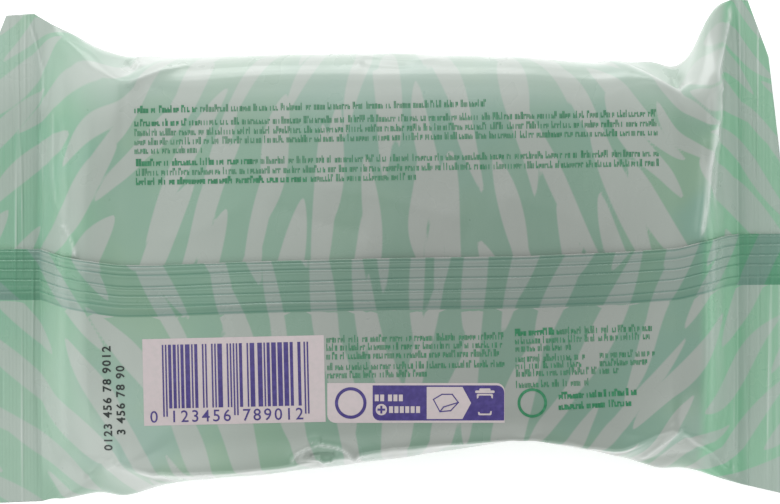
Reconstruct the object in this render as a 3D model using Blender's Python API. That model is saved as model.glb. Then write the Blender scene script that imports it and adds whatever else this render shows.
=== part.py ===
"""A flow pack of wet wipes, lying on its front with its back up.

One printed film is wrapped round a folded stack of wipes. Its two long edges meet in a fin seal, which
lies folded over on the back, and both ends are flattened into crimped seals wider than the stack, so the
film stands out as an ear at each corner. A peel-and-reseal label closes the way out on the front.

Metres, +Z up, +X along the pack. The origin is on the label's outer face, on the stack's centre.
"""

import math

import bmesh
import bpy
import numpy as np

# The stack of folded wipes that fills the film
STACK_LENGTH = 0.126
STACK_WIDTH = 0.078
STACK_HEIGHT = 0.0218
SIDE_BULGE = 0.0008

# The two crimped end seals, and the sloping film between them and the stack
END_SLOPE = 0.0065
SEAL_WIDTH = 0.0105
SEAL_THICKNESS = 0.0007
SEAL_DROP = 0.0006
CRIMP_BAND = 0.0084
CRIMP_PITCH = 0.00105
CRIMP_DEPTH = 0.0004

# The fin seal along the back, folded over towards +Y
FIN_WIDTH = 0.0108
FIN_THICKNESS = 0.0005
FIN_ROOT_Y = -0.012
FIN_ROOT_LAP = 0.0014
FIN_STEP = 0.0006
FIN_STAND_OFF = 0.0004
FIN_RIBS = 5
FIN_RIB_DEPTH = 0.00016
FIN_END_INSET = 0.0003
LOWER_PLY_HEIGHTS = (-FIN_STAND_OFF, -FIN_STAND_OFF, FIN_STAND_OFF, FIN_STAND_OFF)

# How softly the film turns over the stack's edges, and how crisply it enters a seal
SOFT_TURN = 0.0044
SOFT_RUN = 0.0018
CRISP_TURN = 0.00025

# Where the film's main creases lie, measured in from the stack's ends
LEFT_CORNER_INSET = 0.0095
RIGHT_CORNER_INSET = 0.0066
FACET_INSET = 0.0175
BULGE_X = -0.0252
APEX_X = 0.0268

# The peel-and-reseal label on the front
LABEL_LENGTH = 0.070
LABEL_WIDTH = 0.040
LABEL_CORNER = 0.009
LABEL_THICKNESS = 0.0002
LABEL_CLEARANCE = 0.0003
TAB_LENGTH = 0.008
TAB_WIDTH = 0.016

FRONT_Z = LABEL_THICKNESS + LABEL_CLEARANCE
BACK_Z = FRONT_Z + STACK_HEIGHT
GIRTH = 2 * (STACK_WIDTH + STACK_HEIGHT)
SEAL_Z = FRONT_Z + STACK_HEIGHT / 2 - SEAL_DROP
STACK_END = STACK_LENGTH / 2
SEAL_LINE = STACK_END + END_SLOPE
PACK_END = SEAL_LINE + SEAL_WIDTH
SLOPE_FOOT = STACK_END + END_SLOPE / 2
HALF_WIDTH = STACK_WIDTH / 2

# Guide lines run along the film at these distances round it from the fin's root, first towards +Y
TO_TOP = HALF_WIDTH - FIN_ROOT_Y
TO_BOTTOM = HALF_WIDTH + FIN_ROOT_Y
GUIDES = {
    "root": 0.0,
    "back_middle": TO_TOP / 2,
    "back_edge_top": TO_TOP,
    "ridge_top": TO_TOP + STACK_HEIGHT / 2,
    "front_edge_top": TO_TOP + STACK_HEIGHT,
    "front_middle": TO_TOP + STACK_HEIGHT + HALF_WIDTH,
    "front_edge_bottom": TO_TOP + STACK_HEIGHT + STACK_WIDTH,
    "ridge_bottom": GIRTH - TO_BOTTOM - STACK_HEIGHT / 2,
    "back_edge_bottom": GIRTH - TO_BOTTOM,
    "back_low": GIRTH - TO_BOTTOM / 2,
}

# Stations across the pack: name, place along X, how far the film has opened from the flat seal to the full
# stack at the middle of the faces, at the stack's edges and at the side ridges, and how far in Y the fin
# has wandered off straight, in shift units
STATIONS = (
    ("left_tip", -PACK_END, 0.0, 0.0, 0.0, 1.8),
    ("left_seal", -SEAL_LINE, 0.0, 0.0, 0.0, 1.8),
    ("left_foot", -SLOPE_FOOT, 0.42, 0.18, 0.2, 0.8),
    ("left_end", -STACK_END, 0.9, 0.5, 0.52, 0.0),
    ("left_corner", -STACK_END + LEFT_CORNER_INSET, 1.0, 1.0, 1.0, -1.4),
    ("left_facet", -STACK_END + FACET_INSET, 1.0, 1.0, 1.0, -1.4),
    ("bulge", BULGE_X, 1.0, 1.0, 1.0, -0.6),
    ("middle", 0.0, 1.0, 1.0, 1.0, 0.0),
    ("apex", APEX_X, 1.0, 1.0, 1.0, 0.4),
    ("right_facet", STACK_END - FACET_INSET, 1.0, 1.0, 1.0, 1.2),
    ("right_corner", STACK_END - RIGHT_CORNER_INSET, 1.0, 1.0, 1.0, 2.0),
    ("right_end", STACK_END, 0.93, 0.55, 0.45, 3.6),
    ("right_foot", SLOPE_FOOT, 0.3, 0.2, 0.15, 4.4),
    ("right_seal", SEAL_LINE, 0.0, 0.0, 0.0, 4.8),
    ("right_tip", PACK_END, 0.0, 0.0, 0.0, 4.9),
)

# How much of the fin's wandering each guide near it follows
FIN_WANDER = {"root": 1.0, "back_middle": 1.0, "back_low": 0.5}

# Where this pack's slack film is pinched in, pulled out or creased: station, guide, and the shift in X, Y
# and Z, in shift units
SHIFT_UNIT = 0.001
PINCHES = (
    ("left_tip", "ridge_top", 3.4, -2.6, 0.0),
    ("left_seal", "ridge_top", -1.6, -2.2, 0.0),
    ("left_foot", "ridge_top", -0.4, -2.6, 0.0),
    ("left_end", "ridge_top", 0.0, -1.2, 0.0),
    ("left_corner", "back_edge_top", 0.0, -5.8, 0.4),
    ("left_corner", "ridge_top", 0.0, -1.2, 2.2),
    ("left_facet", "back_edge_top", 0.0, -2.4, 0.0),
    ("left_facet", "ridge_top", 0.0, -0.8, 0.0),
    ("bulge", "ridge_top", 0.0, -0.4, 0.0),
    ("apex", "ridge_top", 0.0, -0.8, 0.0),
    ("right_facet", "back_edge_top", 0.0, -2.0, 0.0),
    ("right_facet", "ridge_top", 0.0, -2.1, 0.0),
    ("right_corner", "back_edge_top", 0.6, -8.0, 0.0),
    ("right_corner", "ridge_top", 2.0, -4.6, -1.0),
    ("right_end", "back_edge_top", 1.0, -6.2, 2.2),
    ("right_end", "ridge_top", -1.2, 0.9, 0.0),
    ("right_foot", "ridge_top", -1.0, 1.8, 1.2),
    ("right_seal", "ridge_top", -1.0, 0.8, 0.8),
    ("right_tip", "back_middle", -2.0, 0.0, 0.0),
    ("right_tip", "back_edge_top", -4.4, 0.0, 0.0),
    ("right_tip", "ridge_top", -8.8, 0.4, 1.6),
    ("right_tip", "front_edge_top", -4.4, 0.0, 0.0),
    ("right_tip", "front_middle", -2.0, 0.0, 0.0),
    ("left_tip", "ridge_bottom", 0.6, -0.4, 0.0),
    ("left_foot", "ridge_bottom", 0.0, -1.6, 0.0),
    ("left_end", "ridge_bottom", 0.0, -4.6, 0.0),
    ("left_corner", "ridge_bottom", 0.0, -8.2, 0.0),
    ("left_corner", "back_edge_bottom", 0.0, -2.6, 0.0),
    ("left_facet", "ridge_bottom", 0.0, -7.0, 0.0),
    ("left_facet", "back_edge_bottom", 0.0, -4.8, 0.0),
    ("bulge", "ridge_bottom", 0.0, -4.3, 0.0),
    ("bulge", "back_edge_bottom", 0.0, -4.2, 0.0),
    ("middle", "ridge_bottom", 0.0, -1.9, 0.0),
    ("middle", "back_edge_bottom", 0.0, 0.2, 0.0),
    ("apex", "ridge_bottom", 0.0, 3.2, 0.0),
    ("apex", "back_edge_bottom", 0.0, 2.0, 0.0),
    ("right_facet", "ridge_bottom", 0.0, -1.0, 0.0),
    ("right_facet", "back_edge_bottom", 0.0, 1.2, -2.6),
    ("right_corner", "back_edge_bottom", 0.0, 4.6, 0.4),
    ("right_corner", "ridge_bottom", 0.0, -3.6, 0.0),
    ("right_end", "back_edge_bottom", 0.0, 1.8, 0.0),
    ("right_end", "ridge_bottom", 0.0, 0.4, 0.0),
    ("right_foot", "ridge_bottom", 0.0, 2.6, 0.0),
    ("right_seal", "ridge_bottom", 1.0, 3.4, 0.0),
    ("right_tip", "ridge_bottom", 0.0, 1.2, 0.0),
)

# How finely the turns are softened, the angles in degrees that shade sharp and that an arc steps by, and a
# length too small to count
SOFTENING_SAMPLES = 5
SHARP_EDGE = 50
ARC_STEP = 15
ROUND_OFF = 1e-6

# Cells round the film between one guide and the next, as many on the front as on the back between the
# two ridges, and their size along the pack
CELLS_ROUND = (7, 6, 4, 4, 10, 9, 4, 4, 3, 3)
CELL_ALONG = 0.0038


def round_stack(distance):
    """Y and Z on the stack's own outline, at a distance round it from the fin's root."""
    corners = [GUIDES[name] for name in ("back_edge_top", "front_edge_top", "front_edge_bottom")]
    corners += [GUIDES["back_edge_bottom"]]
    if distance <= corners[0]:
        return FIN_ROOT_Y + distance, BACK_Z
    if distance <= corners[1]:
        return HALF_WIDTH, BACK_Z - (distance - corners[0])
    if distance <= corners[2]:
        return HALF_WIDTH - (distance - corners[1]), FRONT_Z
    if distance <= corners[3]:
        return -HALF_WIDTH, FRONT_Z + (distance - corners[2])
    return -HALF_WIDTH + (distance - corners[3]), BACK_Z


def across_seal(distance):
    """Y and Z on the flat seal, with the back's film on its upper face and the front's on its lower one."""
    top, bottom = GUIDES["ridge_top"], GUIDES["ridge_bottom"]
    if distance <= top:
        return FIN_ROOT_Y + distance, SEAL_Z + SEAL_THICKNESS / 2
    if distance <= bottom:
        return FIN_ROOT_Y + 2 * top - distance, SEAL_Z - SEAL_THICKNESS / 2
    return FIN_ROOT_Y + distance - GIRTH, SEAL_Z + SEAL_THICKNESS / 2


def guide_point(guide, station):
    """One point of the control net: the film at a guide line and a station, before any pinch."""
    _, x, open_middle, open_edge, open_ridge, drift = station
    distance = GUIDES[guide]
    opened = open_middle
    if "edge" in guide:
        opened = open_edge
    if "ridge" in guide:
        opened = open_ridge
    flat_y, flat_z = across_seal(distance)
    full_y, full_z = round_stack(distance)
    if "ridge" in guide:
        flat_z = SEAL_Z
        full_y += math.copysign(SIDE_BULGE, full_y)
    wander = drift * SHIFT_UNIT * FIN_WANDER.get(guide, 0.0)
    return (x, flat_y + (full_y - flat_y) * opened + wander, flat_z + (full_z - flat_z) * opened)


def control_net():
    """Every guide at every station, with the pinches added and the first guide repeated to close the loop."""
    shifts = {(station, guide): shift for station, guide, *shift in PINCHES}
    net = []
    for station in STATIONS:
        row = []
        for guide in GUIDES:
            shift = shifts.get((station[0], guide), (0.0, 0.0, 0.0))
            place = guide_point(guide, station)
            row.append([at + move * SHIFT_UNIT for at, move in zip(place, shift)])
        net.append(row + [row[0]])
    return np.array(net)


NET = control_net()
STATION_X = np.array([station[1] for station in STATIONS])
GUIDE_AT = np.array([*GUIDES.values(), GIRTH])


def on_net(x, distance):
    """The film before its turns are softened: straight between neighbouring points of the net."""
    column = np.clip(np.searchsorted(STATION_X, x, side="right") - 1, 0, len(STATION_X) - 2)
    along = np.clip((x - STATION_X[column]) / (STATION_X[column + 1] - STATION_X[column]), 0, 1)[:, None]
    distance = np.mod(distance, GIRTH)
    guide = np.clip(np.searchsorted(GUIDE_AT, distance, side="right") - 1, 0, len(GUIDE_AT) - 2)
    round_it = ((distance - GUIDE_AT[guide]) / (GUIDE_AT[guide + 1] - GUIDE_AT[guide]))[:, None]
    near = NET[column, guide] * (1 - round_it) + NET[column, guide + 1] * round_it
    far = NET[column + 1, guide] * (1 - round_it) + NET[column + 1, guide + 1] * round_it
    return near * (1 - along) + far * along


def crimp(x):
    """Height of the end seal's ridges: a zigzag that starts and ends level, short of the pack's outer edge."""
    ridges = int(CRIMP_BAND / CRIMP_PITCH + ROUND_OFF)
    inside = np.clip((np.abs(x) - SEAL_LINE) / CRIMP_PITCH, 0, ridges)
    return CRIMP_DEPTH * (1 - np.abs(np.mod(2 * inside, 2) - 1))


def film(x, distance):
    """Points of the film, softened by averaging the net over a small window that narrows at the seals."""
    x, distance = np.broadcast_arrays(np.asarray(x, float), np.asarray(distance, float))
    shape = x.shape
    x, distance = x.ravel(), distance.ravel()
    opened = np.clip((SEAL_LINE - np.abs(x)) / (SEAL_LINE - STACK_END + LEFT_CORNER_INSET), 0, 1)
    turn = CRISP_TURN + (SOFT_TURN - CRISP_TURN) * opened
    run = CRISP_TURN + (SOFT_RUN - CRISP_TURN) * np.sqrt(opened)
    window = np.linspace(-1, 1, SOFTENING_SAMPLES)
    total = np.zeros((len(x), 3))
    for step_along in window:
        for step_round in window:
            total += on_net(x + step_along * run, distance + step_round * turn)
    points = total / len(window) ** 2
    points[:, 2] += crimp(x)
    points[:, 2] = np.maximum(points[:, 2], FRONT_Z)
    return points.reshape(*shape, 3)


def columns():
    """Places along X: every crimp's ridge and valley, the stations, and even cells between those."""
    ridges = int(CRIMP_BAND / CRIMP_PITCH + ROUND_OFF)
    seal = [SEAL_LINE + CRIMP_PITCH * k / 2 for k in range(2 * ridges + 1)] + [PACK_END]
    places = [-x for x in reversed(seal)]
    inner = STATION_X[1:-1]
    for start, end in zip(inner[:-1], inner[1:]):
        cells = max(2, round((end - start) / CELL_ALONG))
        places += list(np.linspace(start, end, cells + 1)[1:-1 if end == inner[-1] else None])
    return np.array(places + seal)


def rows():
    """Distances round the film, in even cells between neighbouring guides."""
    places = []
    for start, end, cells in zip(GUIDE_AT[:-1], GUIDE_AT[1:], CELLS_ROUND):
        places += list(np.linspace(start, end, cells + 1)[:-1])
    return np.array(places)


def material(name, colour, roughness):
    made = bpy.data.materials.new(name)
    made.use_nodes = True
    surface = made.node_tree.nodes["Principled BSDF"]
    surface.inputs["Base Color"].default_value = (*colour, 1.0)
    surface.inputs["Roughness"].default_value = roughness
    surface.inputs["Metallic"].default_value = 0.0
    return made


def add_object(name, mesh, finish, collection):
    obj = bpy.data.objects.new(name, mesh)
    mesh.materials.append(finish)
    collection.objects.link(obj)
    return obj


def cap(bm, loop, last_above, first_below):
    """Faces across the end of a flattened tube, from the two points at one of its edges to the other edge."""
    for j in range(len(loop) // 2 - (first_below - last_above)):
        corners = (first_below + j, first_below + j + 1, last_above - j - 1, last_above - j)
        bm.faces.new(dict.fromkeys(loop[k % len(loop)] for k in corners))


def loft(name, rings, last_above, first_below):
    """A closed skin over rings of points that all run the same way round, capped at both ends."""
    bm = bmesh.new()
    loops = [[bm.verts.new(point) for point in ring] for ring in rings]
    for one, other in zip(loops[:-1], loops[1:]):
        for k in range(len(one)):
            after = (k + 1) % len(one)
            bm.faces.new((one[k], one[after], other[after], other[k]))
    cap(bm, loops[0], last_above, first_below)
    cap(bm, loops[-1], last_above, first_below)
    bmesh.ops.recalc_face_normals(bm, faces=bm.faces)
    mesh = bpy.data.meshes.new(name)
    bm.to_mesh(mesh)
    bm.free()
    mesh.shade_smooth()
    mesh.set_sharp_from_angle(angle=math.radians(SHARP_EDGE))
    return mesh


def film_rings():
    places = rows()
    return [film(np.full(len(places), x), places) for x in columns()]


def outward(x, distance):
    """Directions out of the film, from its slope in both directions."""
    step = CRISP_TURN
    along = film(x + step, distance) - film(x - step, distance)
    round_it = film(x, distance + step) - film(x, distance - step)
    out = np.cross(along, round_it)
    return out / np.linalg.norm(out, axis=-1, keepdims=True)


def fin_rings():
    """The fin's section at each column: its lower face stands off the back outside the lap at its root."""
    upper = np.linspace(0.0, FIN_WIDTH, 2 * FIN_RIBS + 1)
    lower = np.interp(upper, (0.0, FIN_ROOT_LAP, FIN_ROOT_LAP + FIN_STEP, FIN_WIDTH), LOWER_PLY_HEIGHTS)
    rib_height = FIN_RIB_DEPTH * (np.arange(len(upper)) % 2)
    distance = np.concatenate([upper, upper[::-1]])
    height = np.concatenate([FIN_STAND_OFF + FIN_THICKNESS - rib_height, lower[::-1]])
    places = columns()
    places[0] += FIN_END_INSET
    places[-1] -= FIN_END_INSET
    rings = []
    for x in places:
        at = np.full(len(distance), x)
        rings.append(film(at, distance) + outward(at, distance) * height[:, None])
    return rings


def build_pack(collection, helpers):
    finish = material("printed_film", (0.33, 0.56, 0.44), 0.38)
    ridge = sum(CELLS_ROUND[:3])
    skin = loft("wipes_pack", film_rings(), ridge, ridge)
    flap = loft("fin_seal", fin_rings(), 2 * FIN_RIBS, 2 * FIN_RIBS + 1)
    pack = add_object("wipes_pack", skin, finish, collection)
    fin = add_object("fin_seal", flap, finish, helpers)
    fin.hide_render = True
    fin.display_type = "WIRE"
    joined = pack.modifiers.new("fin_joined", "BOOLEAN")
    joined.operation = "UNION"
    joined.solver = "EXACT"
    joined.object = fin


def arc(centre_x, centre_y, radius, start, end):
    """Points along an arc, from one angle to another in degrees."""
    steps = math.ceil(abs(start - end) / ARC_STEP)
    angles = np.radians(np.linspace(start, end, steps + 1))
    return [(centre_x + radius * math.cos(a), centre_y + radius * math.sin(a)) for a in angles]


def label_outline():
    """Corners of the label: a rounded rectangle with a round pull tab out of its +X side."""
    half_x, half_y, tab = LABEL_LENGTH / 2, LABEL_WIDTH / 2, TAB_WIDTH / 2
    corner_x, corner_y = half_x - LABEL_CORNER, half_y - LABEL_CORNER
    points = arc(corner_x, corner_y, LABEL_CORNER, 90, 0)
    points += [(half_x, tab)] + arc(half_x + TAB_LENGTH - tab, 0.0, tab, 90, -90) + [(half_x, -tab)]
    points += arc(corner_x, -corner_y, LABEL_CORNER, 0, -90)
    points += arc(-corner_x, -corner_y, LABEL_CORNER, -90, -180)
    points += arc(-corner_x, corner_y, LABEL_CORNER, 180, 90)
    return points


def without_repeats(points):
    """The same outline with each point that repeats the one before it left out."""
    kept = [points[-1]]
    for point in points:
        if math.dist(point, kept[-1]) > ROUND_OFF:
            kept.append(point)
    return kept[1:]


def build_label(collection):
    outline = without_repeats(label_outline())
    curve = bpy.data.curves.new("reseal_label", "CURVE")
    curve.dimensions = "2D"
    curve.fill_mode = "BOTH"
    curve.extrude = LABEL_THICKNESS / 2
    spline = curve.splines.new("POLY")
    spline.points.add(len(outline) - 1)
    for point, (x, y) in zip(spline.points, outline):
        point.co = (x, y, 0.0, 1.0)
    spline.use_cyclic_u = True
    curve.materials.append(material("label_film", (0.62, 0.66, 0.64), 0.3))
    label = bpy.data.objects.new("reseal_label", curve)
    label.location = (0.0, 0.0, LABEL_THICKNESS / 2)
    collection.objects.link(label)


def clear_scene():
    for obj in list(bpy.data.objects):
        bpy.data.objects.remove(obj, do_unlink=True)


def new_collection(name):
    made = bpy.data.collections.new(name)
    bpy.context.scene.collection.children.link(made)
    return made


clear_scene()
parts = new_collection("wet_wipes_pack")
cutters = new_collection("helpers")
build_pack(parts, cutters)
build_label(parts)
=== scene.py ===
"""The looks of a flow pack of wet wipes that lies on its front, seen from above on its back."""

import math
import random

import bmesh
import bpy
import numpy as np
from mathutils import Matrix, Vector
from mathutils.bvhtree import BVHTree


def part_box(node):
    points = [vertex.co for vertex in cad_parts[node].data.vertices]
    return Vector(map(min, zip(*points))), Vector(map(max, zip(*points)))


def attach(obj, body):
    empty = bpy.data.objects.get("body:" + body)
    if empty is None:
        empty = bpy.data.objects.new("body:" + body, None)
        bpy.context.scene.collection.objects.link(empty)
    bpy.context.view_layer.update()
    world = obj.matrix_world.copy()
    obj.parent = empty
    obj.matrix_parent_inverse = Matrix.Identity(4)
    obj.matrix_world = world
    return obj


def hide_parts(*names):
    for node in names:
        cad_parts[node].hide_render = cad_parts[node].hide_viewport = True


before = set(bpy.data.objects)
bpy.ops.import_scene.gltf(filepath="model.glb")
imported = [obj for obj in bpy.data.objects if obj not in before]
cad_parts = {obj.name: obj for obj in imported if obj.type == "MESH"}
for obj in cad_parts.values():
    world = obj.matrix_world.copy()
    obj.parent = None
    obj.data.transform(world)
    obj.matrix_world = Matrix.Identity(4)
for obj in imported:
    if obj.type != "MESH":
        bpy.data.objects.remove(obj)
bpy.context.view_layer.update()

MM = 0.001

# Camera: it looks straight down on the pack's back, as the photograph does, from far enough that the end
# seals lie just out of the picture at both sides. One millimetre on the back is about five pixels.
PICTURE_WIDTH = 780
PIXELS_PER_MM = 5.1
CAMERA_HEIGHT = 620 * MM
SENSOR_WIDTH = 36.0
CREASES_OVER_BACK = 0.9 * MM
BACK_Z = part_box("wipes_pack")[1].z - CREASES_OVER_BACK

lens_view = bpy.data.cameras.new("camera")
lens_view.sensor_width = SENSOR_WIDTH
lens_view.lens = SENSOR_WIDTH * CAMERA_HEIGHT / (PICTURE_WIDTH / PIXELS_PER_MM * MM)
camera = bpy.data.objects.new("camera", lens_view)
camera.location = (0.0, 0.0, BACK_Z + CAMERA_HEIGHT)
bpy.context.scene.collection.objects.link(camera)
bpy.context.scene.camera = camera
bpy.context.scene.view_settings.view_transform = "Standard"

# Film wrapper: one web of soft polyethylene film, about 60 microns thick, printed mint green with pale
# strokes. It is wrapped round the stack of moist wipes and welded flat at both ends, so it goes from a box
# section to a flat seal through an ear at each corner. Its slack film is pinched and creased.


def mm(*sizes):
    """Sizes in millimetres, as the metres that Blender works in."""
    return [size * MM for size in sizes]


STACK_WIDTH, STACK_HEIGHT, SIDE_BULGE = mm(78, 21.8, 0.8)
FRONT_Z, SEAL_LINE, SEAL_END, SEAL_THICKNESS, SEAL_DROP = mm(0.5, 69.5, 80, 0.7, 0.6)
CRIMPS = 12
CRIMP_PITCH, CRIMP_DEPTH = mm(0.7, 0.07)
SEAL_CREASES = 40
SEAL_CREASE_HEIGHT, SEAL_CREASE_REACH = mm(0.27, 0.22)
FIN_ROOT_Y = -12 * MM
SOFT_TURN, BOTTOM_TURN, CRISP_TURN = mm(8, 1.2, 0.25)
BOTTOM_REACH = 3 * BOTTOM_TURN
CORNER_X, CORNER_REACH, PAST_CORNER = mm(52.5, 7, 5)
CORNER_TIGHTENING = 0.6
LEFT_RUN, RIGHT_RUN, SLOPE_RUN = mm(5, 1.8, 16)

SEAL_Z = FRONT_Z + STACK_HEIGHT / 2 - SEAL_DROP
GIRTH = 2 * (STACK_WIDTH + STACK_HEIGHT)
HALF_WIDTH = STACK_WIDTH / 2
TO_TOP = HALF_WIDTH - FIN_ROOT_Y
TO_BOTTOM = HALF_WIDTH + FIN_ROOT_Y
GUIDES = {
    "root": 0.0,
    "back_middle": TO_TOP / 2,
    "back_edge_top": TO_TOP,
    "ridge_top": TO_TOP + STACK_HEIGHT / 2,
    "front_edge_top": TO_TOP + STACK_HEIGHT,
    "front_middle": TO_TOP + STACK_HEIGHT + HALF_WIDTH,
    "front_edge_bottom": TO_TOP + STACK_HEIGHT + STACK_WIDTH,
    "ridge_bottom": GIRTH - TO_BOTTOM - STACK_HEIGHT / 2,
    "back_edge_bottom": GIRTH - TO_BOTTOM,
    "back_low": GIRTH - TO_BOTTOM / 2,
}
# Station, its X in millimetres, how far the film has opened there at the faces, the edges and the ridges,
# and how far the fin wanders in Y, in millimetres
STATIONS = (
    ("left_tip", -80, 0, 0, 0, 1.8),
    ("left_seal", -69.5, 0, 0, 0, 1.8),
    ("left_foot", -66.2, 0.42, 0.18, 0.2, 0.8),
    ("left_end", -63, 0.9, 0.5, 0.52, 0),
    ("left_corner", -53.5, 1, 1, 1, -1.4),
    ("left_facet", -45.5, 1, 1, 1, -1.4),
    ("bulge", -25.2, 1, 1, 1, -0.6),
    ("middle", 0, 1, 1, 1, 0),
    ("apex", 26.8, 1, 1, 1, 0.4),
    ("right_facet", 45.5, 1, 1, 1, 1.2),
    ("right_corner", 56.4, 1, 1, 1, 2),
    ("right_end", 63, 0.93, 0.55, 0.45, 3.6),
    ("right_foot", 66.2, 0.3, 0.2, 0.15, 4.4),
    ("right_seal", 69.5, 0, 0, 0, 4.8),
    ("right_tip", 80, 0, 0, 0, 4.9),
)
FIN_WANDER = {"root": 1.0, "back_middle": 1.0, "back_low": 0.5}
# By guide and station, the shift in X, Y and Z, in millimetres, with which the film is pinched there
PINCHES = {
    "back_middle": {"right_tip": (-2, 0, 0)},
    "back_edge_top": {
        "left_foot": (0, 3, -0.4), "left_end": (0, 2.4, -1), "left_corner": (0, -5.8, 0.4),
        "left_facet": (0, -2.4, 0), "right_facet": (0, -2, 0), "right_corner": (0.6, -8, 0),
        "right_end": (1, -6.2, 2.2), "right_tip": (-4.4, 0, 0),
    },
    "ridge_top": {
        "left_tip": (3.4, -2.6, 0), "left_seal": (-1.6, -2.2, 0), "left_foot": (-0.4, -2.4, 0),
        "left_end": (0, -0.7, 0), "left_corner": (0, -1, 2.2), "left_facet": (0, -0.5, 0),
        "bulge": (0, -0.4, 0), "apex": (0, -1.5, 0), "right_facet": (0, -2.9, 0),
        "right_corner": (1.6, -7.4, -1), "right_end": (-1.2, 0.9, 0), "right_foot": (-1, 1.8, 1.2),
        "right_seal": (-1, 0.8, 0.8), "right_tip": (-8.8, 0.4, 1.6),
    },
    "front_edge_top": {"right_tip": (-4.4, 0, 0)},
    "front_middle": {"right_tip": (-2, 0, 0)},
    "ridge_bottom": {
        "left_tip": (0.6, -0.4, 0), "left_foot": (0, -2, 0), "left_end": (0, -7, 0),
        "left_corner": (0, -9.3, 0), "left_facet": (0, -8.4, 0), "bulge": (0, -5.9, 0),
        "middle": (0, -3.3, 0), "apex": (0, 3.1, 0), "right_facet": (0, -1.6, 0),
        "right_corner": (0, -4.5, 0), "right_end": (0, 0.1, 0), "right_foot": (0, 2.6, 0),
        "right_seal": (1, 3.4, 0), "right_tip": (0, 1.2, 0),
    },
    "back_edge_bottom": {
        "left_corner": (0, -2.6, 0), "left_facet": (0, -4.8, 0), "bulge": (0, -4.2, 0),
        "middle": (0, 0.2, 0), "apex": (0, 2, 0), "right_facet": (0, -0.4, -1.6),
        "right_corner": (0, 4.6, 0.4), "right_end": (0, 1.8, 0),
    },
}
SAMPLES_ROUND, SAMPLES_ALONG = 11, 7


def round_stack(distance):
    """Y and Z on the stack's own outline, at a distance round it from the fin's root."""
    top, under_top = GUIDES["back_edge_top"], GUIDES["front_edge_top"]
    under_bottom, bottom = GUIDES["front_edge_bottom"], GUIDES["back_edge_bottom"]
    back = FRONT_Z + STACK_HEIGHT
    if distance <= top:
        return FIN_ROOT_Y + distance, back
    if distance <= under_top:
        return HALF_WIDTH, back - (distance - top)
    if distance <= under_bottom:
        return HALF_WIDTH - (distance - under_top), FRONT_Z
    if distance <= bottom:
        return -HALF_WIDTH, FRONT_Z + (distance - under_bottom)
    return -HALF_WIDTH + (distance - bottom), back


def across_seal(distance):
    """Y and Z on the flat seal, the back's film above and the front's below."""
    top, bottom = GUIDES["ridge_top"], GUIDES["ridge_bottom"]
    if distance <= top:
        return FIN_ROOT_Y + distance, SEAL_Z + SEAL_THICKNESS / 2
    if distance <= bottom:
        return FIN_ROOT_Y + 2 * top - distance, SEAL_Z - SEAL_THICKNESS / 2
    return FIN_ROOT_Y + distance - GIRTH, SEAL_Z + SEAL_THICKNESS / 2


def film_net():
    """The film at every station and guide line, with its pinches."""
    net = []
    for name, x, open_face, open_edge, open_ridge, wander in STATIONS:
        row = []
        for guide, distance in GUIDES.items():
            opened = open_edge if "edge" in guide else open_ridge if "ridge" in guide else open_face
            flat = np.array((x * MM, *across_seal(distance)))
            full = np.array((x * MM, *round_stack(distance)))
            if "ridge" in guide:
                flat[2] = SEAL_Z
                full[1] += math.copysign(SIDE_BULGE, full[1])
            pinch = PINCHES.get(guide, {}).get(name, (0, 0, 0))
            point = flat + (full - flat) * opened + np.array(pinch) * MM
            point[1] += wander * MM * FIN_WANDER.get(guide, 0.0)
            row.append(point)
        net.append(row + [row[0]])
    return np.array(net)


NET = film_net()
STATION_X = np.array([station[1] for station in STATIONS]) * MM
GUIDE_AT = np.array([*GUIDES.values(), GIRTH])


def bell(away):
    """One in the middle, and less the further away a place is, in reaches."""
    return np.exp(-(away**2))


def on_net(x, distance):
    """The film straight between the net's points."""
    column = np.clip(np.searchsorted(STATION_X, x, side="right") - 1, 0, len(STATION_X) - 2)
    along = np.clip((x - STATION_X[column]) / (STATION_X[column + 1] - STATION_X[column]), 0, 1)[:, None]
    distance = np.mod(distance, GIRTH)
    guide = np.clip(np.searchsorted(GUIDE_AT, distance, side="right") - 1, 0, len(GUIDE_AT) - 2)
    over = ((distance - GUIDE_AT[guide]) / (GUIDE_AT[guide + 1] - GUIDE_AT[guide]))[:, None]
    near = NET[column, guide] * (1 - over) + NET[column, guide + 1] * over
    far = NET[column + 1, guide] * (1 - over) + NET[column + 1, guide + 1] * over
    return near * (1 - along) + far * along


def smooth_film(x, distance):
    """Points on the film with its turns rounded, softer over the stack and crisper towards the seals."""
    opened = np.clip((SEAL_LINE - np.abs(x)) / SLOPE_RUN, 0, 1)
    to_bottom_edge = (distance - GUIDES["back_edge_bottom"]) / BOTTOM_REACH
    to_corner = np.abs(x) - CORNER_X
    by_corner = bell(to_corner / np.where(to_corner > 0, PAST_CORNER, CORNER_REACH))
    crisp = np.maximum(bell(to_bottom_edge), by_corner)
    soft_turn = SOFT_TURN - (SOFT_TURN - BOTTOM_TURN) * crisp
    soft_run = np.where(x < 0, LEFT_RUN, RIGHT_RUN) * (1 - CORNER_TIGHTENING * by_corner)
    turn = CRISP_TURN + (soft_turn - CRISP_TURN) * opened
    run = CRISP_TURN + (soft_run - CRISP_TURN) * np.sqrt(opened)
    total = np.zeros((len(x), 3))
    for step_along in np.linspace(-1, 1, SAMPLES_ALONG):
        for step_round in np.linspace(-1, 1, SAMPLES_ROUND):
            total += on_net(x + step_along * run, distance + step_round * turn)
    return total / (SAMPLES_ALONG * SAMPLES_ROUND)


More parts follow.
